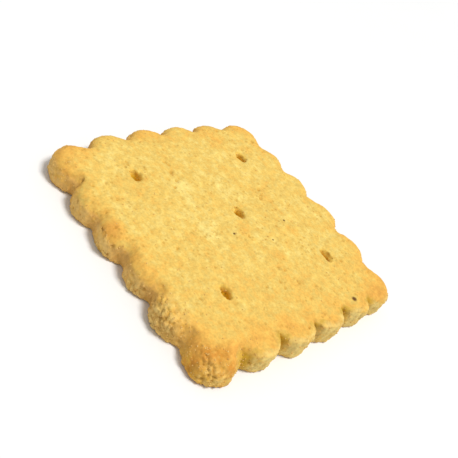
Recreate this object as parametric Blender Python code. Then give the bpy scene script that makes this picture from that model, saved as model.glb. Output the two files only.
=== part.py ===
"""A square shortbread biscuit with a scalloped edge and five docker holes.

Run it with blender --background --python part.py, or from Blender's text editor.
Metres, +Z up. The origin is on the flat underside, below the middle of the biscuit.
"""

import math

import bmesh
import bpy
from mathutils import Vector, noise

MM = 0.001

# Plan of the biscuit
CENTRE_LINE = 23.5 * MM        # half of the square on which the scallops' centres lie
CORE_CORNER = 2.5 * MM         # corner radius of the slab behind the scallops, on that square
CORNER_BLEND = 0.35 * MM       # softness of the corner scallops' join to the slab

# The four scallops of each side, between its corners: where each lies along the side, and how far
# it stands out past the centre line, because the biscuit was not cut and baked quite square.
# The key is the axis that the side runs along, and the sign of the other axis. In millimetres.
SIDE_SCALLOPS_MM = {
    ("x", -1): ((-13.8, 0.6), (-5.1, 0.7), (4.2, -0.3), (14.0, 0.5)),
    ("x", 1): ((-14.8, 0.6), (-6.2, 1.1), (3.6, 1.3), (13.8, 0.5)),
    ("y", -1): ((-13.9, 0.9), (-3.9, 1.4), (5.4, 1.3), (14.5, 0.7)),
    ("y", 1): ((-14.3, 1.0), (-4.6, 1.4), (4.8, 1.4), (14.4, 1.0)),
}
# Radius of each side's scallops, as a share of their width, the softness of its notches, and where
# these end at the foot and at the top, out from the centre line. The notches of one side stayed
# narrow, deep and crisp; the dough of the others flowed together again.
SIDE_ROUNDNESS = {("x", -1): 0.55, ("x", 1): 0.55, ("y", -1): 0.56, ("y", 1): 0.505}
SIDE_BLEND_MM = {("x", -1): 1.5, ("x", 1): 0.7, ("y", -1): 1.1, ("y", 1): 0.3}
SIDE_NOTCH_MM = {("x", -1): (2.4, 1.5), ("x", 1): (3.5, 1.6), ("y", -1): (3.5, 1.6), ("y", 1): (2.8, 0.4)}
# The corner scallops' radii, and how far each lies from the square's corner, along X and Y
CORNER_RADIUS_MM = {(-1, -1): 5.2, (1, -1): 5.2, (1, 1): 5.0, (-1, 1): 5.2}
CORNER_SHIFT_MM = {(-1, -1): (0.3, 0.0), (1, -1): (0.0, 0.0), (1, 1): (0.3, -0.7), (-1, 1): (0.5, -0.8)}

# Height of the biscuit
RIM_HEIGHT = 5.5 * MM          # the top, just inside its rounded edge
DOME = 0.35 * MM               # rise from there to the middle
DOME_REACH = 28.7 * MM         # from the middle to where the dome ends
SWELL = 0.14 * MM              # low, uneven rises of the baked top
SWELL_LENGTH = 9.0 * MM
WALL_RELIEF = 0.16 * MM        # unevenness of the wall
WALL_RELIEF_LENGTH = 2.6 * MM
# Rows of the wall up from the underside, whose edge turns in a little: how far each lies inside
# the outline, its height as a share of the wall's, and the share of the relief that it takes
WALL_ROWS = (
    (0.40 * MM, 0.0, 0.0),
    (0.10 * MM, 0.12, 0.6),
    (0.0, 0.42, 1.0),
    (0.0, 0.75, 1.0),
)
# Radius of the rounded top edge along each side and at each corner. One side kept its crisp cut
# edge, and the corner next to it swelled into a ball.
SIDE_ROUND_MM = {("x", -1): 2.6, ("x", 1): 2.0, ("y", -1): 2.2, ("y", 1): 0.6}
CORNER_ROUND_MM = {(-1, -1): 2.5, (1, -1): 3.8, (1, 1): 1.8, (-1, 1): 2.2}
CORNER_BEGINS = 0.76           # smaller coordinate over larger where a corner's radius begins
CORNER_ROUNDED = 0.9           # and where it holds in full
NOTCH_ROUND = 0.35 * MM        # how far the top edge turns in at the notches

# Docker holes: one in each quarter and one in the middle
HOLE_SPACING = 15.5 * MM       # from the middle of the pattern, along each side
HOLE_PATTERN_CENTRE = (-1.2 * MM, 1.3 * MM)
HOLE_MIDDLE_OFFSET = (-0.8 * MM, 2.1 * MM)
HOLE_LENGTH = 3.9 * MM
HOLE_WIDTH = 2.4 * MM
HOLE_DEPTH = 2.9 * MM
HOLE_TAPER = 0.5               # size of the floor, as a share of the mouth
HOLE_TURNS = (1.0, -4.0, -7.0, -3.0, -9.0)   # degrees from the X axis, one for each hole

# Fineness of the mesh
LOFT_START = 22.0 * MM         # half of the square from which the loft's columns run out
LOFT_REACH = 10.0 * MM         # a length that takes each column past the edge
SIDE_STEPS = 44
NOTCH_PULL = 1.8               # above 1, draws the columns towards the notches
CORNER_STEPS = 10
ROUND_STEPS = 5
INNER_STEPS = 2
HOLE_SEGMENTS = 14
SEARCH_STEPS = 24              # halvings in the search for the outline
SHARP_ANGLE = math.radians(50)


def clear_scene():
    """Remove what is in the file already."""
    for obj in list(bpy.data.objects):
        bpy.data.objects.remove(obj, do_unlink=True)


def new_collection(name):
    collection = bpy.data.collections.new(name)
    bpy.context.scene.collection.children.link(collection)
    return collection


def side_row(axis, sign):
    """The scallops of a side in order, corners included, as places along it and out from it."""
    row = [(along * MM, out * MM) for along, out in SIDE_SCALLOPS_MM[axis, sign]]
    return [(-CENTRE_LINE, 0.0), *row, (CENTRE_LINE, 0.0)]


SIDE_ROWS = {side: side_row(*side) for side in SIDE_SCALLOPS_MM}


def stand_out(side, along):
    """How far a side stands out past the centre line, between the middles of its scallops."""
    row = SIDE_ROWS[side]
    along = max(-CENTRE_LINE, min(CENTRE_LINE, along))
    for (before, out_before), (after, out_after) in zip(row, row[1:]):
        if along <= after:
            share = (along - before) / (after - before)
            return out_before + (out_after - out_before) * share
    return row[-1][1]


def scallops():
    """Centre, radius and blend of the twenty scallops: four corners and four along each side."""
    found = []
    for corner, (shift_x, shift_y) in CORNER_SHIFT_MM.items():
        centre = (corner[0] * CENTRE_LINE + shift_x * MM, corner[1] * CENTRE_LINE + shift_y * MM)
        found.append((*centre, CORNER_RADIUS_MM[corner] * MM, CORNER_BLEND))
    for (axis, sign), row in SIDE_ROWS.items():
        for (before, _), (along, out), (after, _) in zip(row, row[1:], row[2:]):
            across = sign * (CENTRE_LINE + out)
            centre = (along, across) if axis == "x" else (across, along)
            radius = SIDE_ROUNDNESS[axis, sign] * (after - before) / 2
            found.append((*centre, radius, SIDE_BLEND_MM[axis, sign] * MM))
    return found


def smooth_min(a, b, softness):
    """The smaller of two distances, with a soft fillet where they meet."""
    share = max(softness - abs(a - b), 0.0) / softness
    return min(a, b) - share * share * softness / 4


def core_distance(x, y):
    """Signed distance to the square on which the scallops' centres lie, with its bowed sides."""
    reach = CENTRE_LINE - CORE_CORNER
    over_x = max(sign * x - stand_out(("y", sign), y) for sign in (-1, 1)) - reach
    over_y = max(sign * y - stand_out(("x", sign), x) for sign in (-1, 1)) - reach
    outside = math.hypot(max(over_x, 0.0), max(over_y, 0.0))
    return outside + min(max(over_x, over_y), 0.0) - CORE_CORNER


SCALLOPS = scallops()


def edge_distance(x, y, scallop_inset, notch_floor):
    """Signed distance to the edge, from how far its scallops turn in and where its notches end."""
    distance = core_distance(x, y) - notch_floor
    for centre_x, centre_y, radius, blend in SCALLOPS:
        from_scallop = math.hypot(x - centre_x, y - centre_y) - radius + scallop_inset
        distance = smooth_min(distance, from_scallop, blend)
    return distance


def reach_to_edge(start, direction, scallop_inset, notch_floor):
    """Distance from start, along direction, to the edge."""
    near = 0.0
    far = LOFT_REACH
    for _ in range(SEARCH_STEPS):
        middle = (near + far) / 2
        point = start + direction * middle
        if edge_distance(point.x, point.y, scallop_inset, notch_floor) < 0:
            near = middle
        else:
            far = middle
    return (near + far) / 2


def signs_of(place):
    """The quarter of the plan in which a place lies."""
    return tuple(1 if part > 0 else -1 for part in place)


def nearest_side(place):
    """The side that a place of the plan is nearest to."""
    sign_x, sign_y = signs_of(place)
    return ("y", sign_x) if abs(place.x) > abs(place.y) else ("x", sign_y)


def edge_round(place):
    """Radius of the rounded top edge near a place of the plan."""
    wide, tall = abs(place.x), abs(place.y)
    share = (min(wide, tall) / max(wide, tall) - CORNER_BEGINS) / (CORNER_ROUNDED - CORNER_BEGINS)
    share = max(0.0, min(1.0, share))
    side_round, corner_round = SIDE_ROUND_MM[nearest_side(place)], CORNER_ROUND_MM[signs_of(place)]
    return (side_round * (1 - share) + corner_round * share) * MM


def notch_end(place, height):
    """Where the notches near a place of the plan end at a height, out from the centre line."""
    foot, top = SIDE_NOTCH_MM[nearest_side(place)]
    share = height / RIM_HEIGHT
    return (foot * (1 - share) + top * share) * MM + NOTCH_ROUND * share


def swell(x, y):
    """Height of the dome and of the low rises above the rim, at a place on the top."""
    dome = DOME * (1 - (x / DOME_REACH) ** 2) * (1 - (y / DOME_REACH) ** 2)
    return dome + SWELL * noise.noise(Vector((x, y, 0.0)) / SWELL_LENGTH)


def top_height(x, y):
    """Height of the top inside its rounded edge."""
    return RIM_HEIGHT + swell(x, y)


def drawn_to_notch(side, along):
    """A place along a side, moved towards the notch between its two scallops."""
    row = SIDE_ROWS[side]
    for (before, _), (after, _) in zip(row, row[1:]):
        if along <= after:
            middle, half = (before + after) / 2, (after - before) / 2
            share = (along - middle) / half
            return middle + half * math.copysign(abs(share) ** NOTCH_PULL, share)
    return along


def columns():
    """The loft's columns round the square: grid corner, start and direction of each."""
    places = []
    for side, sign in (("x", -1), ("y", 1), ("x", 1), ("y", -1)):
        way = Vector((0, sign)) if side == "x" else Vector((sign, 0))
        along = Vector((-way.y, way.x))
        forwards = along.x + along.y
        corner = (way + along) * LOFT_START
        for step in range(1, SIDE_STEPS):
            place = LOFT_START * (2 * step / SIDE_STEPS - 1)
            drawn = forwards * drawn_to_notch((side, sign), forwards * place)
            places.append((way * LOFT_START + along * place, way * LOFT_START + along * drawn, way))
        for step in range(CORNER_STEPS + 1):
            turn = math.pi / 2 * step / CORNER_STEPS
            places.append((corner, corner, way * math.cos(turn) + along * math.sin(turn)))
    return places


def wall_relief(point, height):
    """Seeded unevenness of the wall, outwards."""
    place = Vector((point.x, point.y, height)) / WALL_RELIEF_LENGTH
    return WALL_RELIEF * noise.noise(place)


def loft_point(bm, column, scallop_inset, notch_floor, height, relief, lift):
    """The loft's vertex on a column, at a height, on the edge."""
    _, start, direction = column
    point = start + direction * reach_to_edge(start, direction, scallop_inset, notch_floor)
    point += direction * wall_relief(point, height) * relief
    return bm.verts.new((point.x, point.y, height + lift * swell(point.x, point.y)))


def wall_rows(bm, places):
    """The wall, from the underside up to the rounded edge."""
    rows = []
    for inset, share, relief in WALL_ROWS:
        row = []
        for column in places:
            height = share * (RIM_HEIGHT - edge_round(column[1]))
            notch_floor = notch_end(column[1], height) - inset
            row.append(loft_point(bm, column, inset, notch_floor, height, relief, 0.0))
        rows.append(row)
    return rows


def edge_rows(bm, places):
    """The rounded top edge, a quarter turn from the wall to the top."""
    rows = []
    for step in range(ROUND_STEPS + 1):
        turn = math.pi / 2 * step / ROUND_STEPS
        upright, lift = math.cos(turn), math.sin(turn)
        row = []
        for column in places:
            radius = edge_round(column[1])
            height = RIM_HEIGHT - radius * (1 - lift)
            inset = radius * (1 - upright)
            notch_floor = notch_end(column[1], height) - NOTCH_ROUND * (1 - upright)
            row.append(loft_point(bm, column, inset, notch_floor, height, upright, lift))
        rows.append(row)
    return rows


def inner_rows(bm, places, outer):
    """Rows of the top between its rounded edge and the square of the scallops' centres."""
    rows = []
    for step in range(1, INNER_STEPS):
        share = step / INNER_STEPS
        row = []
        for (border, _, _), vertex in zip(places, outer):
            point = vertex.co.xy.lerp(border, share)
            row.append(bm.verts.new((point.x, point.y, top_height(point.x, point.y))))
        rows.append(row)
    return rows


def top_grid(bm):
    """The square field of the top, as a grid whose border is the row of column starts."""
    grid = {}
    for i in range(SIDE_STEPS + 1):
        for j in range(SIDE_STEPS + 1):
            x = LOFT_START * (2 * i / SIDE_STEPS - 1)
            y = LOFT_START * (2 * j / SIDE_STEPS - 1)
            grid[i, j] = bm.verts.new((x, y, top_height(x, y)))
    for i in range(SIDE_STEPS):
        for j in range(SIDE_STEPS):
            bm.faces.new((grid[i, j], grid[i + 1, j], grid[i + 1, j + 1], grid[i, j + 1]))
    return grid


def grid_border(grid, places):
    """The grid's vertex below each column, the same one for all the columns of a corner."""
    row = []
    for border, _, _ in places:
        i = round((border.x / LOFT_START + 1) * SIDE_STEPS / 2)
        j = round((border.y / LOFT_START + 1) * SIDE_STEPS / 2)
        row.append(grid[i, j])
    return row


def join_rows(bm, lower, upper):
    """Faces between two closed rows; where the upper row stands still, triangles."""
    count = len(lower)
    for k in range(count):
        after = (k + 1) % count
        corners = [lower[k], lower[after], upper[after], upper[k]]
        if upper[after] is upper[k]:
            corners.pop()
        bm.faces.new(corners)


def biscuit_object(collection, material):
    """The whole biscuit as one closed loft, before the docker holes are cut."""
    bm = bmesh.new()
    places = columns()
    rows = wall_rows(bm, places) + edge_rows(bm, places)
    rows += inner_rows(bm, places, rows[-1])
    rows.append(grid_border(top_grid(bm), places))
    for lower, upper in zip(rows, rows[1:]):
        join_rows(bm, lower, upper)
    bm.faces.new(list(reversed(rows[0])))
    mesh = bpy.data.meshes.new("biscuit")
    bm.to_mesh(mesh)
    bm.free()
    mesh.shade_smooth()
    mesh.set_sharp_from_angle(angle=SHARP_ANGLE)
    mesh.materials.append(material)
    obj = bpy.data.objects.new("biscuit", mesh)
    obj.location = -box_middle(mesh)
    collection.objects.link(obj)
    return obj


def box_middle(mesh):
    """The middle of a mesh's box in plan, which goes on the origin."""
    middles = []
    for axis in range(2):
        places = [vertex.co[axis] for vertex in mesh.vertices]
        middles.append((min(places) + max(places)) / 2)
    return Vector((*middles, 0.0))


def hole_places():
    """The middle of each docker hole in plan: four quarters, then the middle one."""
    middle_x, middle_y = HOLE_PATTERN_CENTRE
    places = []
    for sign_x in (-1, 1):
        for sign_y in (-1, 1):
            places.append((middle_x + sign_x * HOLE_SPACING, middle_y + sign_y * HOLE_SPACING))
    places.append((middle_x + HOLE_MIDDLE_OFFSET[0], middle_y + HOLE_MIDDLE_OFFSET[1]))
    return places


def hole_cutters(collection, biscuit):
    """Blind, tapered, oval pins that press the docker holes into the top, placed on the biscuit."""
    above = HOLE_DEPTH / 2
    mouth = HOLE_TAPER + (1 - HOLE_TAPER) * (HOLE_DEPTH + above) / HOLE_DEPTH
    for number, ((x, y), turn) in enumerate(zip(hole_places(), HOLE_TURNS), start=1):
        mesh = bpy.data.meshes.new(f"docker_pin_{number}")
        bm = bmesh.new()
        bmesh.ops.create_cone(
            bm,
            cap_ends=True,
            segments=HOLE_SEGMENTS,
            radius1=HOLE_TAPER * HOLE_WIDTH / 2,
            radius2=mouth * HOLE_WIDTH / 2,
            depth=HOLE_DEPTH + above,
        )
        bmesh.ops.scale(bm, vec=(HOLE_LENGTH / HOLE_WIDTH, 1, 1), verts=bm.verts)
        bm.to_mesh(mesh)
        bm.free()
        pin = bpy.data.objects.new(mesh.name, mesh)
        pin.parent = biscuit
        pin.location = (x, y, top_height(x, y) + (above - HOLE_DEPTH) / 2)
        pin.rotation_euler.z = math.radians(turn)
        pin.hide_render = True
        pin.display_type = "WIRE"
        collection.objects.link(pin)


def press_holes(biscuit, cutters):
    cut = biscuit.modifiers.new("docker holes", "BOOLEAN")
    cut.operation = "DIFFERENCE"
    cut.operand_type = "COLLECTION"
    cut.collection = cutters
    cut.solver = "EXACT"


def baked_dough():
    """Pale golden crumb, dry and matt."""
    material = bpy.data.materials.new("baked dough")
    material.use_nodes = True
    shader = material.node_tree.nodes["Principled BSDF"]
    shader.inputs["Base Color"].default_value = (0.80, 0.53, 0.16, 1.0)
    shader.inputs["Roughness"].default_value = 0.85
    shader.inputs["Metallic"].default_value = 0.0
    return material


def main():
    clear_scene()
    model = new_collection("shortbread_biscuit")
    cutters = new_collection("cutters")
    biscuit = biscuit_object(model, baked_dough())
    hole_cutters(cutters, biscuit)
    press_holes(biscuit, cutters)


main()
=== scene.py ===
"""The looks of a square shortbread biscuit: its baked crumb, crust, pores and loose grains."""

import bmesh
import bpy
from mathutils import Matrix, Vector


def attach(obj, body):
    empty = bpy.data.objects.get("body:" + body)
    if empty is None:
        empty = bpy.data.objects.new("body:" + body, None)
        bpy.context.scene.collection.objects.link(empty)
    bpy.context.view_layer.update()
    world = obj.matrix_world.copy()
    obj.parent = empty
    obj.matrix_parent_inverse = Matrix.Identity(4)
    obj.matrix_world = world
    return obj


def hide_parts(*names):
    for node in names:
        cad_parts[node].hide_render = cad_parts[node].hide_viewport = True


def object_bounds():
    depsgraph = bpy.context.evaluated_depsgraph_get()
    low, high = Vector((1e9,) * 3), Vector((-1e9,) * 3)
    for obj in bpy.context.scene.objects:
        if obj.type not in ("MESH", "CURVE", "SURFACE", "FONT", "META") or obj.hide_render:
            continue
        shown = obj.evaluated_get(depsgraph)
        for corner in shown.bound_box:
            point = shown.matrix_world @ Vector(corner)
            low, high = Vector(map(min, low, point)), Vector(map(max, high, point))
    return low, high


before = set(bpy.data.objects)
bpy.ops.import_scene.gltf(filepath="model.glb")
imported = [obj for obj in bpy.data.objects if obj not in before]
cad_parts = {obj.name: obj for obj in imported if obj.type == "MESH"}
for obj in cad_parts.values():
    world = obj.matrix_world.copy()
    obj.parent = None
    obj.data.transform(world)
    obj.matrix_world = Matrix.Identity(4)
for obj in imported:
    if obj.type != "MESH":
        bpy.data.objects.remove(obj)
cad_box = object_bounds()

# The biscuit
# One slab of rich, short dough, cut with a scalloped cutter, docked with five pins and baked. Its
# crust is golden on top, toasted on the scallops' shoulders, and pale and crumbly down the walls.
# The tree makes a fine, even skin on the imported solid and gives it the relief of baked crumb.

MM = 0.001
SKIN_SIZES = {
    "Cell": 0.30 * MM,
    "Lump height on top": 0.34 * MM,
    "Lump height on walls": 1.00 * MM,
    "Lump length": 2.4 * MM,
    "Grain height on top": 0.30 * MM,
    "Grain height on walls": 0.95 * MM,
    "Grain length": 0.95 * MM,
    "Pore spacing": 2.0 * MM,
    "Pore wander": 1.2 * MM,
    "Pore depth": 0.38 * MM,
    "Clod spacing": 1.8 * MM,
    "Clod depth": 0.50 * MM,
    "Clod wander": 1.3 * MM,
    "Crumble height": 1.2 * MM,
    "Crumble length": 0.7 * MM,
    "Hole softness": 0.30,                # how far the docker holes' rims are evened out
    "Hole raggedness": 0.9 * MM,
    "Ragged height": 0.5 * MM,
    "Ragged length": 1.4 * MM,
    "Seed": 0,
}
MERGE_DISTANCE = 0.001 * MM
SKIN_MARGIN = 1.2 * MM        # how far the distance to the solid is measured beyond its box
SKIN_SMOOTHING = 2            # rounds of evening out that take the grid's steps off the skin
CREVICE_SPREAD = 40           # rounds of evening out against which notches and holes show
PROBE = Vector((0.137, 0.071, 1.0)).normalized()   # a line along this way tells inside from outside
PROBE_REACH = 1.0
UPRIGHT = 0.5                 # a face whose normal rises less than this belongs to a wall
FOOT_LINE = 1.5 * MM          # a height at which the wall stands upright
WALL_FACES_BELOW = 2.6 * MM   # the docker holes end above this height
TOP_ROOM = 0.12 * MM          # how far the grain may stand above the solid's top
RAGGED_BELOW = 1.5 * MM       # the ragged foot reaches up to this height
HOLE_GRAIN = 1.3 * MM
PORE_CLUSTER = 7.0 * MM
WALL_STRETCH = 0.55           # the cutter drags the walls' grain upright
NOISE_ROUGHNESS = 0.6         # how strong each finer layer of a noise is beside the one before
SEED_SHIFT = Vector((31.0, 17.0, 23.0)) * MM   # how far one step of the seed shifts the relief
LEVEL = (1.0, 1.0, 0.0)       # leaves out the height

# The relief's noises: how many finer layers each has, and how far it is shifted, in millimetres, so
# that no two are alike
LUMPS = (1.0, 3.0)
GRAIN = (3.0, 11.0)
PORE_CLUSTERS = (2.0, 27.0)
TORN_RIMS = (2.0, 41.0)
CRUMBLE = (2.0, 37.0)
RAGGED_FOOT = (2.0, 23.0)

# Where soft changes of the relief begin and are full
WALL_RISE = (0.75, 0.3)         # of the rise of the skin's normal
TOP_RISE = (-0.5, 0.5)
HOLES_FROM = (2.4, 3.4)         # millimetres in from the walls where only docker holes are sunk
RIM_DEPTH = (0.0, 0.12 * MM)    # of the skin's distance to its evened-out self
PORE_EDGE = (0.24, 0.11)        # of the distance from a pore's middle, as a share of the spacing
CREASE_EDGE = (0.22, 0.0)       # of the distance from a crease's middle, as a share of the spacing
PORES_WHERE = (-0.02, 0.1)      # of a noise
RAGGED_WHERE = (-0.05, 0.3)

# Where the crust has broken up into clods: the near corner scallop, the wall beside it, and the far
# left corner. Each is a centre and a reach in millimetres, how broken it is, and how browned.
BROKEN_PLACES = (
    ((26.0, -26.2, 3.0), 6.4, 1.0, 1.0),
    ((14.4, -29.2, 3.2), 7.0, 1.0, 0.15),
    ((5.6, -29.0, 1.0), 4.5, 0.8, 0.0),
    ((-4.5, -29.0, 0.5), 3.5, 0.6, 0.0),
    ((-22.6, -27.0, 5.2), 2.2, 0.55, 0.8),
)


def add_node(tree, kind, inputs=(), **settings):
    """Adds a node, sets its properties, and feeds its sockets with values or other sockets."""
    node = tree.nodes.new(kind)
    for name, value in settings.items():
        setattr(node, name, value)
    for key, value in dict(inputs).items():
        if isinstance(value, bpy.types.NodeSocket):
            tree.links.new(value, node.inputs[key])
        else:
            node.inputs[key].default_value = value
    return node


def maths(tree, operation, *values, clamp=False):
    """One step of arithmetic between numbers or sockets."""
    node = add_node(tree, "ShaderNodeMath", enumerate(values), operation=operation, use_clamp=clamp)
    return node.outputs[0]


def vector_maths(tree, operation, *values, output="Vector"):
    """One step of arithmetic between vectors or sockets."""
    node = add_node(tree, "ShaderNodeVectorMath", enumerate(values), operation=operation)
    return node.outputs[output]


def scaled(tree, vector, factor):
    """A vector made longer or shorter, or a colour lighter or darker."""
    inputs = {0: vector, "Scale": factor}
    return add_node(tree, "ShaderNodeVectorMath", inputs, operation="SCALE").outputs[0]


def length_of(tree, vector):
    """How long a vector is."""
    return vector_maths(tree, "LENGTH", vector, output="Value")


def axes_of(tree, vector):
    """A vector's three numbers, as sockets named X, Y and Z."""
    return add_node(tree, "ShaderNodeSeparateXYZ", {0: vector}).outputs


def total(tree, *values):
    """The sum of numbers or sockets."""
    result = values[0]
    for value in values[1:]:
        result = maths(tree, "ADD", result, value)
    return result


def product(tree, *values):
    """The product of numbers or sockets."""
    result = values[0]
    for value in values[1:]:
        result = maths(tree, "MULTIPLY", result, value)
    return result


def smooth_step(tree, value, start, end, low=0.0, high=1.0):
    """A soft change from low to high while the value goes from start to end."""
    ranges = {"Value": value, "From Min": start, "From Max": end, "To Min": low, "To Max": high}
    node = add_node(tree, "ShaderNodeMapRange", ranges, interpolation_type="SMOOTHSTEP")
    return node.outputs["Result"]


def between(tree, share, low, high):
    """A number part of the way from low to high."""
    return maths(tree, "MULTIPLY_ADD", share, maths(tree, "SUBTRACT", high, low), low)


def noise(tree, place, length, detail, shift):
    """Fractal noise about zero, from about -0.5 to 0.5, whose main bumps are one length across."""
    inputs = {
        "Vector": vector_maths(tree, "ADD", place, (shift * MM, 2 * shift * MM, 3 * shift * MM)),
        "Scale": maths(tree, "DIVIDE", 1.0, length),
        "Detail": detail,
        "Roughness": NOISE_ROUGHNESS,
    }
    return maths(tree, "SUBTRACT", add_node(tree, "ShaderNodeTexNoise", inputs).outputs[0], 0.5)


def cells(tree, place, spacing, feature="F1"):
    """Scattered cells: the distance to the nearest centre or border, as a share of their spacing."""
    inputs = {"Vector": place, "Scale": maths(tree, "DIVIDE", 1.0, spacing)}
    return add_node(tree, "ShaderNodeTexVoronoi", inputs, feature=feature).outputs["Distance"]


def wandered(tree, place, length, distance):
    """A place moved a smooth, random way, by up to about half a distance."""
    inputs = {"Vector": place, "Scale": maths(tree, "DIVIDE", 1.0, length)}
    colour = add_node(tree, "ShaderNodeTexNoise", inputs).outputs["Color"]
    way = vector_maths(tree, "SUBTRACT", colour, (0.5, 0.5, 0.5))
    return vector_maths(tree, "ADD", place, scaled(tree, way, distance))


def closeness(tree, place, centre, reach, core=0.0):
    """One at a centre, or within a core round it, and softly less down to nothing at its reach."""
    distance = vector_maths(tree, "DISTANCE", place, Vector(centre) * MM, output="Value")
    return smooth_step(tree, distance, reach * MM, core * MM)


def merged_copy(node_name, new_name):
    """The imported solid's mesh with its loose triangles joined, as a new object."""
    joined = bmesh.new()
    joined.from_mesh(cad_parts[node_name].data)
    bmesh.ops.remove_doubles(joined, verts=joined.verts, dist=MERGE_DISTANCE)
    mesh = bpy.data.meshes.new(new_name)
    joined.to_mesh(mesh)
    joined.free()
    piece = bpy.data.objects.new(new_name, mesh)
    bpy.context.scene.collection.objects.link(piece)
    return piece


def new_tree(name, sizes):
    """An empty geometry tree that takes a mesh and the named sizes, and the sockets that carry them."""
    tree = bpy.data.node_groups.new(name, "GeometryNodeTree")
    tree.interface.new_socket("Geometry", in_out="INPUT", socket_type="NodeSocketGeometry")
    tree.interface.new_socket("Geometry", in_out="OUTPUT", socket_type="NodeSocketGeometry")
    for size, value in sizes.items():
        kind = "NodeSocketInt" if isinstance(value, int) else "NodeSocketFloat"
        tree.interface.new_socket(size, in_out="INPUT", socket_type=kind)
    return tree, add_node(tree, "NodeGroupInput").outputs


def finish_tree(tree, geometry, material):
    """Ends a tree: its faces smooth, its instances made real, its material set."""
    smooth = add_node(tree, "GeometryNodeSetShadeSmooth", {"Geometry": geometry}).outputs[0]
    real = add_node(tree, "GeometryNodeRealizeInstances", {"Geometry": smooth}).outputs[0]
    inputs = {"Geometry": real, "Material": material}
    finished = add_node(tree, "GeometryNodeSetMaterial", inputs).outputs[0]
    add_node(tree, "NodeGroupOutput", {"Geometry": finished})


def grow(piece, tree, sizes):
    """Puts the plain mesh that the tree makes of a piece in the piece's place."""
    modifier = piece.modifiers.new(tree.name, "NODES")
    modifier.node_group = tree
    for item in tree.interface.items_tree:
        if item.name in sizes:
            modifier[item.identifier] = sizes[item.name]
    graph = bpy.context.evaluated_depsgraph_get()
    mesh = bpy.data.meshes.new_from_object(piece.evaluated_get(graph))
    piece.modifiers.remove(modifier)
    piece.data = mesh


def place_and_normal(tree):
    """Where each point is, and which way the surface faces there."""
    place = add_node(tree, "GeometryNodeInputPosition").outputs[0]
    return place, add_node(tree, "GeometryNodeInputNormal").outputs[0]


def move_points(tree, geometry, place):
    """Puts each point of a mesh at a new place."""
    inputs = {"Geometry": geometry, "Position": place}
    return add_node(tree, "GeometryNodeSetPosition", inputs).outputs[0]


def kept_between(tree, place, top):
    """A place kept from sinking under the ground or standing above a height."""
    axes = axes_of(tree, place)
    height = maths(tree, "MINIMUM", maths(tree, "MAXIMUM", axes["Z"], 0.0), top)
    kept = {"X": axes["X"], "Y": axes["Y"], "Z": height}
    return add_node(tree, "ShaderNodeCombineXYZ", kept).outputs[0]


def store(tree, geometry, name, value):
    """Keeps a number at each point of a mesh, under a name that a material can read."""
    inputs = {"Geometry": geometry, "Name": name, "Value": value}
    settings = {"data_type": "FLOAT", "domain": "POINT"}
    return add_node(tree, "GeometryNodeStoreNamedAttribute", inputs, **settings).outputs[0]


def evened_out(tree, place, rounds):
    """Each point's place evened out with its neighbours' a number of times."""
    inputs = {"Value": place, "Iterations": rounds}
    return add_node(tree, "GeometryNodeBlurAttribute", inputs, data_type="FLOAT_VECTOR").outputs[0]


def skin_on_solid(tree, solid, cell):
    """An even, closed mesh on the solid: where the distance to it, negative outside, is nothing."""
    place = add_node(tree, "GeometryNodeInputPosition").outputs[0]
    surface = {"Geometry": solid, "Sample Position": place}
    near = add_node(tree, "GeometryNodeProximity", surface, target_element="FACES")
    line = {
        "Target Geometry": solid,
        "Source Position": place,
        "Ray Direction": PROBE,
        "Ray Length": PROBE_REACH,
    }
    probe = add_node(tree, "GeometryNodeRaycast", line)
    facing = vector_maths(tree, "DOT_PRODUCT", probe.outputs["Hit Normal"], PROBE, output="Value")
    leaving = maths(tree, "GREATER_THAN", facing, 0.0)
    inside = maths(tree, "MULTIPLY", leaving, probe.outputs["Is Hit"])

    # One inside the solid, and minus one outside
    sign = maths(tree, "MULTIPLY_ADD", inside, 2.0, -1.0)
    low, high = (Vector(corner) for corner in cad_box)
    margin = Vector((SKIN_MARGIN, SKIN_MARGIN, SKIN_MARGIN))
    cube = {
        "Density": maths(tree, "MULTIPLY", sign, near.outputs["Distance"]),
        "Background": -SKIN_MARGIN,
        "Min": low - margin,
        "Max": high + margin,
    }
    for axis, length in zip("XYZ", high - low + 2 * margin):
        cube["Resolution " + axis] = maths(tree, "ROUND", maths(tree, "DIVIDE", length, cell))
    volume = add_node(tree, "GeometryNodeVolumeCube", cube).outputs[0]
    level = {"Volume": volume, "Threshold": 0.0, "Adaptivity": 0.0}
    return add_node(tree, "GeometryNodeVolumeToMesh", level, resolution_mode="GRID").outputs[0]


def wall_distance(tree, solid):
    """The level distance from each point to the outline, measured where the walls stand upright."""
    place, normal = place_and_normal(tree)
    slope = maths(tree, "ABSOLUTE", axes_of(tree, normal)["Z"])
    upright = maths(tree, "LESS_THAN", slope, UPRIGHT)
    low = maths(tree, "LESS_THAN", axes_of(tree, place)["Z"], WALL_FACES_BELOW)
    chosen = {"Geometry": solid, "Selection": maths(tree, "MULTIPLY", upright, low)}
    walls = add_node(tree, "GeometryNodeSeparateGeometry", chosen, domain="FACE").outputs["Selection"]
    level = vector_maths(tree, "MULTIPLY", place, LEVEL)
    level = vector_maths(tree, "ADD", level, (0.0, 0.0, FOOT_LINE))
    inputs = {"Geometry": walls, "Sample Position": level}
    return add_node(tree, "GeometryNodeProximity", inputs, target_element="FACES").outputs["Distance"]


def lumps_and_grain(tree, given, grown, wall):
    """Low lumps, and the crumb's own grain, coarser and dragged upright on the walls."""
    lump_height = between(tree, wall, given["Lump height on top"], given["Lump height on walls"])
    lumps = product(tree, noise(tree, grown, given["Lump length"], *LUMPS), lump_height)
    dragged = vector_maths(tree, "MULTIPLY", grown, (1.0, 1.0, WALL_STRETCH))
    grain_height = between(tree, wall, given["Grain height on top"], given["Grain height on walls"])
    grain = product(tree, noise(tree, dragged, given["Grain length"], *GRAIN), grain_height)
    return lumps, grain


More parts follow.
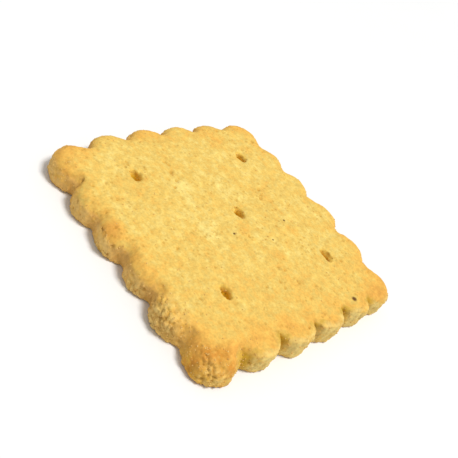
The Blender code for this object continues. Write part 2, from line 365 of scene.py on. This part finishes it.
def open_pores(tree, given, grown):
    """Open pores in clusters, each a small, uneven pit where a cell's centre is near the surface."""
    bent = wandered(tree, grown, given["Pore wander"], given["Pore wander"])
    pore = smooth_step(tree, cells(tree, bent, given["Pore spacing"]), *PORE_EDGE)
    cluster = smooth_step(tree, noise(tree, grown, PORE_CLUSTER, *PORE_CLUSTERS), *PORES_WHERE)
    return product(tree, pore, cluster)


def hole_mouths(tree, given, grown, edge, rise, sunk):
    """The docker pins left soft, uneven mouths: the skin sinks there towards its evened-out self."""
    hole = product(tree, smooth_step(tree, edge, *HOLES_FROM), smooth_step(tree, rise, *TOP_RISE))
    rim = smooth_step(tree, maths(tree, "ABSOLUTE", sunk), *RIM_DEPTH)
    softened = product(tree, sunk, hole, given["Hole softness"])
    torn = product(tree, noise(tree, grown, HOLE_GRAIN, *TORN_RIMS), rim, hole, given["Hole raggedness"])
    return softened, torn


def broken_shares(tree, place):
    """How far the crust has broken up, and browned with that, at each point, from nothing to one."""
    shares = [0.0, 0.0]
    for centre, reach, *strengths in BROKEN_PLACES:
        close = closeness(tree, place, centre, reach)
        for index, strength in enumerate(strengths):
            shares[index] = maths(tree, "MAXIMUM", shares[index], product(tree, close, strength))
    return shares


def creases_between_clods(tree, given, grown):
    """One in the middle of each crease between clods, and nothing away from it."""
    bent = wandered(tree, grown, given["Clod spacing"], given["Clod wander"])
    return smooth_step(tree, cells(tree, bent, given["Clod spacing"], "DISTANCE_TO_EDGE"), *CREASE_EDGE)


def ragged_foot(tree, given, grown, height, wall):
    """A ragged foot, where the dough spread and stuck to the baking sheet."""
    near_foot = product(tree, smooth_step(tree, height, RAGGED_BELOW, 0.0), wall)
    ragged = smooth_step(tree, noise(tree, grown, given["Ragged length"], *RAGGED_FOOT), *RAGGED_WHERE)
    return product(tree, ragged, near_foot, given["Ragged height"])


def biscuit_tree(material):
    """The tree that grows the biscuit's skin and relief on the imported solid."""
    tree, given = new_tree("Baked biscuit", SKIN_SIZES)
    solid = given["Geometry"]
    skin = skin_on_solid(tree, solid, given["Cell"])
    place, normal = place_and_normal(tree)
    skin = move_points(tree, skin, evened_out(tree, place, SKIN_SMOOTHING))

    rise = axes_of(tree, normal)["Z"]
    height = axes_of(tree, place)["Z"]
    edge = maths(tree, "DIVIDE", wall_distance(tree, solid), MM)
    sunk = vector_maths(tree, "SUBTRACT", evened_out(tree, place, CREVICE_SPREAD), place)
    sunk = vector_maths(tree, "DOT_PRODUCT", sunk, normal, output="Value")
    wall = smooth_step(tree, maths(tree, "ABSOLUTE", rise), *WALL_RISE)
    grown = vector_maths(tree, "ADD", place, scaled(tree, SEED_SHIFT, given["Seed"]))

    lumps, grain = lumps_and_grain(tree, given, grown, wall)
    pore = open_pores(tree, given, grown)
    pores = product(tree, pore, given["Pore depth"], -1.0)
    softened, torn = hole_mouths(tree, given, grown, edge, rise, sunk)
    broken, browned = broken_shares(tree, place)
    crease = creases_between_clods(tree, given, grown)
    creases = product(tree, crease, broken, given["Clod depth"], -1.0)
    crumble = noise(tree, grown, given["Crumble length"], *CRUMBLE)
    crumble = product(tree, crumble, broken, given["Crumble height"])
    ragged = ragged_foot(tree, given, grown, height, wall)

    # The numbers that the materials and the loose crumbs read
    skin = store(tree, skin, "edge", edge)
    skin = store(tree, skin, "rise", rise)
    skin = store(tree, skin, "crevice", maths(tree, "DIVIDE", sunk, MM))
    # hollow: how far a point lies in a pore or a crease between clods, which the material darkens as
    # painted shade
    skin = store(tree, skin, "hollow", maths(tree, "MAXIMUM", pore, product(tree, crease, broken)))
    skin = store(tree, skin, "broken", broken)
    skin = store(tree, skin, "browned", browned)

    relief = total(tree, lumps, grain, pores, softened, torn, creases, crumble, ragged)
    moved = vector_maths(tree, "ADD", place, scaled(tree, normal, relief))
    skin = move_points(tree, skin, kept_between(tree, moved, cad_box[1][2] + TOP_ROOM))
    finish_tree(tree, skin, material)
    return tree


# Colours of the crust and crumb, as linear light
PALE_CRUST = (0.800, 0.615, 0.185)
GOLD_CRUST = (0.725, 0.490, 0.110)
AMBER_CRUST = (0.760, 0.430, 0.080)
TOASTED_CRUST = (0.700, 0.350, 0.062)
BROWN_CRUST = (0.440, 0.185, 0.034)
RING_BROWN = (0.600, 0.240, 0.030)
# Wall crumb for the soft sides: its own creamy colour, warmed towards orange by painted bounce light
WALL_CRUMB_AND_PAINTED_BOUNCE = (0.735, 0.430, 0.115)
CRISP_WALL_CREAM = (0.720, 0.530, 0.170)
# Browned crumb for the walls' toned patches, its blue lowered as painted warm bounce light
BROWNED_CRUMB_AND_PAINTED_BOUNCE = (0.750, 0.415, 0.045)
# Painted highlight for the scallops' tips on the soft sides
TIP_PAINTED_HIGHLIGHT = (0.800, 0.550, 0.180)
BARE_CRUMB = (0.870, 0.650, 0.230)
# Painted shade for pores, the creases between clods and the fine pin pores
PORE_PAINTED_SHADE = (0.520, 0.270, 0.030)
# Painted shade for the notches between the scallops: ochre on the crisp side, brown in the others' folds
NOTCH_PAINTED_SHADE = (0.560, 0.325, 0.020)
FOLD_PAINTED_SHADE = (0.600, 0.335, 0.080)
# Painted warm bounce light inside the docker holes, and painted shade at their floors
HOLE_PAINTED_BOUNCE_LIGHT = (0.800, 0.530, 0.100)
HOLE_FLOOR_PAINTED_SHADE = (0.780, 0.500, 0.026)
BURNT_SPECK = (0.140, 0.060, 0.012)
TOASTING = ((0.05, PALE_CRUST), (0.33, GOLD_CRUST), (0.62, AMBER_CRUST), (0.95, TOASTED_CRUST))

MIXED_COLOURS = (6, 7)             # the Mix node's sockets for colours
MIXED_RESULT = 2
CRUST_ROUGHNESS = 0.82
CRUMB_SHINE = 0.25
CRUST_BUMP = (0.5, 0.12 * MM)      # strength and height of the fine crumb
CRUST_SAND = 0.45 * MM             # length of the sandy grain
CRUST_PINHOLES = 1.25 * MM         # spacing of the pin pores
DRAG_STRETCH = 0.2                 # the cutter drags long, upright marks down the crisp walls

# The crust's patterns: length, finer layers, shift in millimetres, and strength
PATTERNS = {
    "patches": (9.0 * MM, 2.0, 1.0, 0.55),
    "mottles": (2.2 * MM, 2.0, 4.0, 0.72),
    "sand": (0.9 * MM, 2.0, 17.0, 0.55),
    "blotches": (1.3 * MM, 3.0, 29.0, 0.5),
    "shoulder": (5.0 * MM, 2.0, 6.0, 3.0),
    "wall": (1.2 * MM, 2.0, 8.0, 0.5),
    "worn": (3.0 * MM, 2.0, 33.0, 4.0),
    "toned": (2.0 * MM, 2.0, 12.0, 1.0),
    "dragged": (1.1 * MM, 2.0, 21.0, 0.45),
    "bare": (1.8 * MM, 2.0, 35.0, 1.0),
    "clods": (1.4 * MM, 3.0, 14.0, 1.0),
    "ring": (1.5 * MM, 3.0, 43.0, 1.0),
    "middle": (1.1 * MM, 2.0, 47.0, 1.0),
}

# Where each part of the crust begins and is full
RANGES = {
    "shoulder": (4.6, 0.6),              # millimetres in from the walls
    "worn": (1.5, 0.3),
    "corner": (29.0 * MM, 38.0 * MM),    # level distance from the biscuit's middle
    "toasted side": (2.0 * MM, 26.0 * MM),
    "crisp side": (23.0 * MM, 26.5 * MM),
    "deep": (5.0 * MM, 3.7 * MM),        # height
    "wall": (0.62, 0.2),                 # rise of the skin's normal
    "underside": (-0.3, -0.7),
    "steep": (0.8, 0.45),
    "sunk": (0.0, 0.16),                 # millimetres under the evened-out skin
    "toned": (-0.1, 0.4),                # the patterns of the same names
    "bare": (-0.2, 0.15),
    "clods": (-0.05, 0.22),
    "ring": (-0.14, 0.14),
    "middle": (-0.15, 0.15),
}

# How strongly each part of the crust shows
SHARES = {
    "least toast": 0.30,
    "shoulder": 0.2,
    "corner": 0.18,
    "toasted side": 0.12,
    "worn": 0.75,
    "wall light": 0.98,
    # How strong the notches' painted shade and the tips' painted highlight are
    "notch": (0.5, 0.95),                # on the soft sides, and on the crisp one
    "tip": (0.5, 0.0),
    "hole": 0.95,
    "bare": 0.8,
    "browned": 0.3,
    "clods": 0.2,
    "ring": 0.9,
    "middle": 0.45,
    # How strong the painted shade in pores, creases and pin pores is
    "hollow": 0.62,
    "pin pores": 0.45,
    "grain": 0.55,
}

# Where the crust browned more, or less, than around it: centre, reach and how much
TOASTED_PLACES = (
    ((22.3, -28.0, 4.8), 3.2, 0.22),
    ((23.0, -24.8, 5.1), 3.6, 0.12),
    ((25.2, -21.8, 4.6), 3.2, 0.25),
    ((-5.0, -27.8, 5.0), 3.6, 0.60),
    ((25.2, -6.8, 5.2), 3.8, 0.30),
    ((24.6, -14.2, 5.2), 3.8, 0.28),
    ((26.3, 21.7, 5.2), 5.0, 0.28),
    ((-22.2, 12.9, 5.4), 5.0, 0.25),
    ((-27.2, -4.9, 5.0), 3.8, 0.25),
    ((-24.0, -24.5, 5.2), 5.5, 0.14),
    ((10.8, 2.7, 5.8), 4.5, 0.25),
    ((3.1, 0.4, 5.8), 2.4, 0.22),
    ((-10.3, -6.5, 5.8), 4.0, -0.25),
    ((1.3, -8.5, 5.8), 3.5, -0.25),
)

# The rounded square round the scallops' tips, how far inside it the painted shade of the notches
# begins and ends, and how far inside it the painted highlight of the tips reaches
SQUARE = 29.8 * MM
SQUARE_CORNER = 8.0 * MM
NOTCH_FROM = 1.2 * MM
NOTCH_TO = 2.7 * MM
TIP_FROM = 1.6 * MM

# Centre and reach of the wall that browned with the near corner scallop, in millimetres
BROWNED_WALL = ((25.0, -29.5, 1.5), 12.0)

# The near corner scallop's crust browned in a ring round a bare, crumbly middle: its centre, where
# the ring ends and is full, and where the middle ends and is full, in millimetres
RING_CENTRE = (27.3, -27.2, 2.4)
RING = (6.6, 4.4)
RING_MIDDLE = (4.0, 1.4)

# Burnt specks in the top crust: centre and radius in millimetres, and where each ends and is full,
# as shares of its radius
BURNT_SPECKS = (
    ((26.0, 13.7, 5.5), 0.55),
    ((3.4, 12.5, 5.8), 0.26),
    ((3.3, -3.1, 5.85), 0.26),
    ((7.2, 5.3, 5.85), 0.2),
)
SPECK_END = 1.5
SPECK_CORE = 0.5

# The fine crumb: layers and shift of its grain and of its pores' clusters, where a pin pore begins
# and is full, how much wider than the pores' spacing the clusters are, and where they are
SAND_NOISE = (3.0, 5.0)
CLUSTER_NOISE = (1.0, 9.0)
PIN_PORE_EDGE = (0.3, 0.14)
CLUSTER_WIDTH = 4.0
CLUSTER_WHERE = (-0.1, 0.12)


def new_material(name, roughness):
    """A Principled material, its tree and its shader."""
    material = bpy.data.materials.new(name)
    material.use_nodes = True
    shader = material.node_tree.nodes["Principled BSDF"]
    shader.inputs["Roughness"].default_value = roughness
    return material, material.node_tree, shader


def paint(tree, shader, colour, height, bump):
    """Gives a shader its colour and the fine relief of a height, of a strength and a depth."""
    strength, depth = bump
    inputs = {"Strength": strength, "Distance": depth, "Height": height}
    tree.links.new(add_node(tree, "ShaderNodeBump", inputs).outputs[0], shader.inputs["Normal"])
    tree.links.new(colour, shader.inputs["Base Color"])


def stored(tree, name):
    """A number that was kept at the mesh's points."""
    return add_node(tree, "ShaderNodeAttribute", attribute_name=name).outputs["Fac"]


def mixed(tree, share, first, second):
    """A colour part of the way from the first to the second."""
    node = add_node(tree, "ShaderNodeMix", {0: share}, data_type="RGBA")
    for number, colour in zip(MIXED_COLOURS, (first, second)):
        socket = node.inputs[number]
        if isinstance(colour, bpy.types.NodeSocket):
            tree.links.new(colour, socket)
        else:
            socket.default_value = (*colour, 1.0)
    return node.outputs[MIXED_RESULT]


def ramp(tree, value, stops):
    """Colours along a line: each stop is a position and a colour."""
    node = add_node(tree, "ShaderNodeValToRGB", {0: value})
    elements = node.color_ramp.elements
    while len(elements) < len(stops):
        elements.new(1.0)
    for element, (position, colour) in zip(elements, stops):
        element.position = position
        element.color = (*colour, 1.0)
    return node.outputs["Color"]


def crumb_group():
    """The fine crumb that crust, walls and loose grains share: sandy grain and pin pores."""
    group = bpy.data.node_groups.new("Fine crumb", "ShaderNodeTree")
    for name, kind in (
        ("Place", "NodeSocketVector"),
        ("Grain length", "NodeSocketFloat"),
        ("Pore spacing", "NodeSocketFloat"),
    ):
        group.interface.new_socket(name, in_out="INPUT", socket_type=kind)
    for name in ("Grain", "Pores", "Height"):
        group.interface.new_socket(name, in_out="OUTPUT", socket_type="NodeSocketFloat")
    given = add_node(group, "NodeGroupInput").outputs
    place = given["Place"]
    grain = noise(group, place, given["Grain length"], *SAND_NOISE)
    pore = smooth_step(group, cells(group, place, given["Pore spacing"]), *PIN_PORE_EDGE)
    width = maths(group, "MULTIPLY", given["Pore spacing"], CLUSTER_WIDTH)
    cluster = smooth_step(group, noise(group, place, width, *CLUSTER_NOISE), *CLUSTER_WHERE)
    pores = product(group, pore, cluster)
    height = maths(group, "SUBTRACT", grain, pores)
    add_node(group, "NodeGroupOutput", {"Grain": grain, "Pores": pores, "Height": height})
    return group


def place_crumb(tree, place, grain_length, pore_spacing):
    """The fine crumb in a material, with that material's own sizes: its outputs."""
    crumb = add_node(tree, "ShaderNodeGroup", node_tree=fine_crumb)
    tree.links.new(place, crumb.inputs["Place"])
    crumb.inputs["Grain length"].default_value = grain_length
    crumb.inputs["Pore spacing"].default_value = pore_spacing
    return crumb.outputs


def pattern(tree, place, name):
    """One of the crust's patterns, about nothing."""
    length, detail, shift, strength = PATTERNS[name]
    return product(tree, noise(tree, place, length, detail, shift), strength)


def ranged(tree, value, name):
    """How far a value has come into one of the crust's ranges, from nothing to one."""
    return smooth_step(tree, value, *RANGES[name])


def patched(tree, place, name):
    """Where a pattern is strong enough, from nothing to one."""
    return ranged(tree, pattern(tree, place, name), name)


def rest_of(tree, share):
    """What is left of one beside a share."""
    return maths(tree, "SUBTRACT", 1.0, share)


def top_crust(tree, place, edge):
    """Pale to toasted: patchy all over, more toasted at the shoulders, the corners and one side."""
    uneven_edge = maths(tree, "ADD", edge, pattern(tree, place, "shoulder"))
    from_middle = length_of(tree, vector_maths(tree, "MULTIPLY", place, LEVEL))
    toast = total(
        tree,
        SHARES["least toast"],
        pattern(tree, place, "patches"),
        pattern(tree, place, "mottles"),
        pattern(tree, place, "sand"),
        product(tree, ranged(tree, uneven_edge, "shoulder"), SHARES["shoulder"]),
        product(tree, ranged(tree, from_middle, "corner"), SHARES["corner"]),
        product(tree, ranged(tree, axes_of(tree, place)["X"], "toasted side"), SHARES["toasted side"]),
    )
    for centre, reach, more in TOASTED_PLACES:
        toast = total(tree, toast, product(tree, closeness(tree, place, centre, reach), more))
    return ramp(tree, toast, TOASTING)


def wall_share(tree, place, edge, rise, crisp):
    """How far each point belongs to the walls, with the worn rim of the crisp side."""
    wall = ranged(tree, maths(tree, "ADD", rise, pattern(tree, place, "wall")), "wall")
    worn = ranged(tree, maths(tree, "ADD", edge, pattern(tree, place, "worn")), "worn")
    wall = maths(tree, "MAXIMUM", wall, product(tree, worn, crisp, SHARES["worn"]))
    return product(tree, wall, rest_of(tree, ranged(tree, rise, "underside")))


def wall_crumb(tree, place, crisp, toned):
    """The walls' colour: creamy, paler and dragged by the cutter on the crisp side, toned in patches,
    and warmed by painted bounce light off the crisp side and in the toned patches.
    """
    crumb = mixed(tree, crisp, WALL_CRUMB_AND_PAINTED_BOUNCE, CRISP_WALL_CREAM)
    crumb = mixed(tree, toned, crumb, BROWNED_CRUMB_AND_PAINTED_BOUNCE)
    long_place = vector_maths(tree, "MULTIPLY", place, (1.0, 1.0, DRAG_STRETCH))
    dragged = product(tree, pattern(tree, long_place, "dragged"), crisp)
    return scaled(tree, crumb, total(tree, SHARES["wall light"], dragged))


def painted_notch_shade_and_tip_highlight(tree, place, colour, wall, crisp, toned):
    """Painted shade in the notches, the more the further they lie inside the square round the scallops,
    and a painted highlight at the scallops' tips: ochre on the crisp side, brown and softer on the others."""
    straight = SQUARE - SQUARE_CORNER
    level = vector_maths(tree, "ABSOLUTE", vector_maths(tree, "MULTIPLY", place, LEVEL))
    level = vector_maths(tree, "SUBTRACT", level, (straight, straight, 0.0))
    reach = length_of(tree, vector_maths(tree, "MAXIMUM", level, (0.0, 0.0, 0.0)))
    notch = smooth_step(tree, reach, SQUARE_CORNER - NOTCH_FROM, SQUARE_CORNER - NOTCH_TO)
    notch = product(tree, notch, wall, between(tree, crisp, *SHARES["notch"]))
    # Painted shade in the notches
    colour = mixed(tree, notch, colour, mixed(tree, crisp, FOLD_PAINTED_SHADE, NOTCH_PAINTED_SHADE))
    # Painted highlight at the scallops' tips
    tip = smooth_step(tree, reach, SQUARE_CORNER - TIP_FROM, SQUARE_CORNER)
    tip = product(tree, tip, wall, rest_of(tree, toned), between(tree, crisp, *SHARES["tip"]))
    return mixed(tree, tip, colour, TIP_PAINTED_HIGHLIGHT)


def painted_light_in_docker_holes(tree, place, colour, edge, rise):
    """The docker holes, far from the walls, get a brighter ochre as painted bounce light, which deepens to
    painted shade towards their floors.
    """
    sunk = ranged(tree, stored(tree, "crevice"), "sunk")
    in_hole = smooth_step(tree, edge, *HOLES_FROM)
    hole = product(tree, maths(tree, "MAXIMUM", sunk, ranged(tree, rise, "steep")), in_hole, SHARES["hole"])
    deep = ranged(tree, axes_of(tree, place)["Z"], "deep")
    # Painted bounce light in the holes, deepening to painted shade lower down
    return mixed(tree, hole, colour, mixed(tree, deep, HOLE_PAINTED_BOUNCE_LIGHT, HOLE_FLOOR_PAINTED_SHADE))


def broken_crust(tree, place, colour):
    """Broken crust bares pale crumb, except where it browned, and browns in clods."""
    browned = stored(tree, "browned")
    bare = maths(tree, "SUBTRACT", stored(tree, "broken"), browned, clamp=True)
    bare = product(tree, bare, patched(tree, place, "bare"), SHARES["bare"])
    colour = mixed(tree, bare, colour, BARE_CRUMB)
    colour = mixed(tree, product(tree, browned, SHARES["browned"]), colour, TOASTED_CRUST)
    clods = product(tree, browned, patched(tree, place, "clods"), SHARES["clods"])
    return mixed(tree, clods, colour, BROWN_CRUST)


def browned_ring(tree, place, colour):
    """The near corner scallop's browned ring and its bare, crumbly middle."""
    middle = closeness(tree, place, RING_CENTRE, *RING_MIDDLE)
    ring = maths(tree, "SUBTRACT", closeness(tree, place, RING_CENTRE, *RING), middle, clamp=True)
    ring = product(tree, ring, patched(tree, place, "ring"), SHARES["ring"])
    colour = mixed(tree, ring, colour, RING_BROWN)
    middle = product(tree, middle, patched(tree, place, "middle"), SHARES["middle"])
    return mixed(tree, middle, colour, BARE_CRUMB)


def burnt_specks(tree, place, colour):
    """The few specks that burnt in the top crust."""
    speck = 0.0
    for centre, radius in BURNT_SPECKS:
        close = closeness(tree, place, centre, SPECK_END * radius, SPECK_CORE * radius)
        speck = maths(tree, "MAXIMUM", speck, close)
    return mixed(tree, speck, colour, BURNT_SPECK)


def dough_material():
    """The biscuit's crust and crumb: pale to toasted on top, creamy down the walls, with painted light and
    shade in holes and notches.
    """
    material, tree, shader = new_material("baked dough", CRUST_ROUGHNESS)
    place = add_node(tree, "ShaderNodeTexCoord").outputs["Object"]
    edge = stored(tree, "edge")
    rise = stored(tree, "rise")
    crumb = place_crumb(tree, place, CRUST_SAND, CRUST_PINHOLES)

    crisp = ranged(tree, axes_of(tree, place)["X"], "crisp side")
    wall = wall_share(tree, place, edge, rise, crisp)
    toned = maths(tree, "MAXIMUM", patched(tree, place, "toned"), closeness(tree, place, *BROWNED_WALL))
    colour = mixed(tree, wall, top_crust(tree, place, edge), wall_crumb(tree, place, crisp, toned))
    colour = painted_notch_shade_and_tip_highlight(tree, place, colour, wall, crisp, toned)
    colour = painted_light_in_docker_holes(tree, place, colour, edge, rise)
    colour = broken_crust(tree, place, colour)
    colour = browned_ring(tree, place, colour)
    # Painted shade in the pores and creases, then in the fine pin pores
    colour = mixed(tree, product(tree, stored(tree, "hollow"), SHARES["hollow"]), colour, PORE_PAINTED_SHADE)
    colour = mixed(tree, product(tree, crumb["Pores"], SHARES["pin pores"]), colour, PORE_PAINTED_SHADE)
    grain = product(tree, crumb["Grain"], SHARES["grain"])
    colour = scaled(tree, colour, total(tree, 1.0, pattern(tree, place, "blotches"), grain))
    colour = burnt_specks(tree, place, colour)
    paint(tree, shader, colour, crumb["Height"], CRUST_BUMP)
    shader.inputs["Specular IOR Level"].default_value = CRUMB_SHINE
    return material


fine_crumb = crumb_group()
biscuit = merged_copy("biscuit", "shortbread")
grow(biscuit, biscuit_tree(dough_material()), SKIN_SIZES)
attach(biscuit, "root")
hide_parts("biscuit")

# Loose crumbs
# Grains of the same dough that came off in handling and cling to the biscuit: thick on its broken
# crust, fewer down the walls, and hardly any on the smooth top. Each is half sunk in the skin.

CRUMB_SIZES = {
    "Grain radius": 0.15 * MM,
    "Grains on walls": 0.9e6,             # a square metre
    "Grains on top": 0.07e6,
    "Grains on broken crust": 1.5e6,
    "Roughness of a grain": 0.16 * MM,
    "Seed": 11,
}
CRUMB_SCALES = (0.45, 1.35)               # least and most, as a share of the grain's radius
FULL_TURN = 6.283
CRUMB_ROOM = 0.14 * MM                    # how far a crumb may stand above the solid's top
CRUMB_WALL_RISE = (0.8, 0.3)              # rise of the skin's normal where walls begin and are full
CRUMB_UNDERSIDE = (-0.4, -0.1)            # and where the underside ends and the walls are full
CRUMB_UNEVENNESS = (1.0, 31.0)            # finer layers and shift of the noise that dents a grain

CRUMB_ROUGHNESS = 0.85
CRUMB_BUMP = (0.4, 0.05 * MM)             # strength and height of the fine crumb
CRUMB_SAND = 0.15 * MM
CRUMB_PINHOLES = 0.4 * MM
CRUMB_PORE_SHARE = 0.4
CRUMB_SHADES = (0.7 * MM, 1.0, 2.0)       # length, finer layers and shift of the grains' shades
CRUMB_DARK_WHERE = (-0.2, 0.25)
LIGHT_CRUMB = (0.800, 0.540, 0.180)
DARK_CRUMB = (0.620, 0.340, 0.075)


def skin_number(tree, name):
    """A number that was kept at the points of the biscuit's skin."""
    inputs = {"Name": name}
    return add_node(tree, "GeometryNodeInputNamedAttribute", inputs, data_type="FLOAT").outputs[0]


def random_three(tree, least, most, seed):
    """Three random numbers for each grain, from the least to the most."""
    inputs = {0: [least] * 3, 1: [most] * 3, "Seed": seed}
    return add_node(tree, "FunctionNodeRandomValue", inputs, data_type="FLOAT_VECTOR").outputs[0]


def crumbs_tree(material):
    """The tree that scatters grains over the biscuit, away from its underside."""
    tree, given = new_tree("Loose crumbs", CRUMB_SIZES)
    seed = given["Seed"]
    rise = skin_number(tree, "rise")
    wall = smooth_step(tree, rise, *CRUMB_WALL_RISE)
    density = between(tree, wall, given["Grains on top"], given["Grains on walls"])
    on_broken = product(tree, skin_number(tree, "broken"), given["Grains on broken crust"])
    density = total(tree, density, on_broken)
    density = product(tree, density, smooth_step(tree, rise, *CRUMB_UNDERSIDE))
    scatter = {"Mesh": given["Geometry"], "Density": density, "Seed": seed}
    points = add_node(tree, "GeometryNodeDistributePointsOnFaces", scatter).outputs["Points"]

    ball = {"Radius": given["Grain radius"], "Subdivisions": 1}
    grain = add_node(tree, "GeometryNodeMeshIcoSphere", ball).outputs["Mesh"]
    placed = {
        "Points": points,
        "Instance": grain,
        "Rotation": random_three(tree, 0.0, FULL_TURN, seed),
        "Scale": random_three(tree, *CRUMB_SCALES, seed),
    }
    grains = add_node(tree, "GeometryNodeInstanceOnPoints", placed).outputs[0]
    grains = add_node(tree, "GeometryNodeRealizeInstances", {"Geometry": grains}).outputs[0]

    place, normal = place_and_normal(tree)
    uneven = noise(tree, place, given["Grain radius"], *CRUMB_UNEVENNESS)
    push = scaled(tree, normal, product(tree, uneven, given["Roughness of a grain"]))
    dented = vector_maths(tree, "ADD", place, push)
    grains = move_points(tree, grains, kept_between(tree, dented, cad_box[1][2] + CRUMB_ROOM))
    finish_tree(tree, grains, material)
    return tree


def crumb_material():
    """Crumbs from pale to toasted, each grain about one colour."""
    material, tree, shader = new_material("loose crumb", CRUMB_ROUGHNESS)
    place = add_node(tree, "ShaderNodeTexCoord").outputs["Object"]
    crumb = place_crumb(tree, place, CRUMB_SAND, CRUMB_PINHOLES)
    shade = smooth_step(tree, noise(tree, place, *CRUMB_SHADES), *CRUMB_DARK_WHERE)
    colour = mixed(tree, shade, LIGHT_CRUMB, DARK_CRUMB)
    # Painted shade in the grains' pin pores
    colour = mixed(tree, product(tree, crumb["Pores"], CRUMB_PORE_SHARE), colour, PORE_PAINTED_SHADE)
    paint(tree, shader, colour, crumb["Height"], CRUMB_BUMP)
    shader.inputs["Specular IOR Level"].default_value = CRUMB_SHINE
    return material


crumbs = bpy.data.objects.new("loose_crumbs", biscuit.data.copy())
bpy.context.scene.collection.objects.link(crumbs)
grow(crumbs, crumbs_tree(crumb_material()), CRUMB_SIZES)
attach(crumbs, "root")

# The floor
# A broad, plain table top under the biscuit, painted matt white with a roller, which leaves a
# faint stipple and slightly uneven paint.

FLOOR_SIZE = 3.0
FLOOR_WHITE = (0.835, 0.835, 0.83)
FLOOR_SHADE = (0.81, 0.81, 0.805)
FLOOR_ROUGHNESS = 0.6
FLOOR_CLOUD = (60.0 * MM, 2.0, 3.0)       # length, finer layers and shift of the paint's clouding
FLOOR_SHADE_WHERE = (-0.3, 0.3)
FLOOR_STIPPLE = (1.5 * MM, 2.0, 7.0)      # and of the roller's stipple
FLOOR_BUMP = (0.1, 0.02 * MM)             # strength and height of the stipple


def floor_material():
    """Matt white paint, faintly clouded, with the stipple of a roller."""
    material, tree, shader = new_material("floor paint", FLOOR_ROUGHNESS)
    place = add_node(tree, "ShaderNodeTexCoord").outputs["Object"]
    cloud = smooth_step(tree, noise(tree, place, *FLOOR_CLOUD), *FLOOR_SHADE_WHERE)
    colour = mixed(tree, cloud, FLOOR_WHITE, FLOOR_SHADE)
    paint(tree, shader, colour, noise(tree, place, *FLOOR_STIPPLE), FLOOR_BUMP)
    return material


bpy.ops.mesh.primitive_plane_add(size=FLOOR_SIZE)
floor = bpy.context.object
floor.name = "floor"
floor.data.materials.append(floor_material())

# The light and the camera
# A high, soft main light that leans to the right of the picture, an even white surrounding that
# fills the shade, and a camera at the photograph's viewing angle, turned to the biscuit's middle.

SUN_DIRECTION = Vector((0.32, 0.19, 0.93))    # from the biscuit towards the light
SUN_STRENGTH = 2.62
SUN_SOFTNESS = 0.35                           # how wide the light looks from the biscuit, in radians
SKY_WHITE = (1.0, 1.0, 1.0, 1.0)
SKY_STRENGTH = 0.5                            # as it lights the biscuit
SKY_SEEN = 0.98                               # as the camera sees it
CAMERA_PLACE = Vector((57.04, -104.74, 93.25)) * MM
CAMERA_TARGET = Vector((0.0, 0.0, 2.9)) * MM
CAMERA_UP = Vector((-0.7802, 0.3242, 0.5349))
LENS = 56.6                                   # millimetres, on a sensor 36 wide
CLIP_START = 10.0 * MM

sun = bpy.data.objects.new("sun", bpy.data.lights.new("sun", "SUN"))
sun.data.energy = SUN_STRENGTH
sun.data.angle = SUN_SOFTNESS
sun.rotation_euler = SUN_DIRECTION.to_track_quat("Z", "Y").to_euler()
bpy.context.scene.collection.objects.link(sun)

world = bpy.data.worlds.new("surroundings")
world.use_nodes = True
bpy.context.scene.world = world
sky = world.node_tree.nodes["Background"]
sky.inputs["Color"].default_value = SKY_WHITE
seen = add_node(world.node_tree, "ShaderNodeLightPath").outputs["Is Camera Ray"]
strength = smooth_step(world.node_tree, seen, 0.0, 1.0, SKY_STRENGTH, SKY_SEEN)
world.node_tree.links.new(strength, sky.inputs["Strength"])

camera = bpy.data.objects.new("camera", bpy.data.cameras.new("camera"))
camera.data.lens = LENS
camera.data.clip_start = CLIP_START
forward = (CAMERA_TARGET - CAMERA_PLACE).normalized()
right = forward.cross(CAMERA_UP).normalized()
turn = Matrix((right, right.cross(forward), -forward)).transposed()
camera.matrix_world = Matrix.Translation(CAMERA_PLACE) @ turn.to_4x4()
bpy.context.scene.collection.objects.link(camera)
bpy.context.scene.camera = camera
bpy.context.scene.view_settings.view_transform = "Standard"
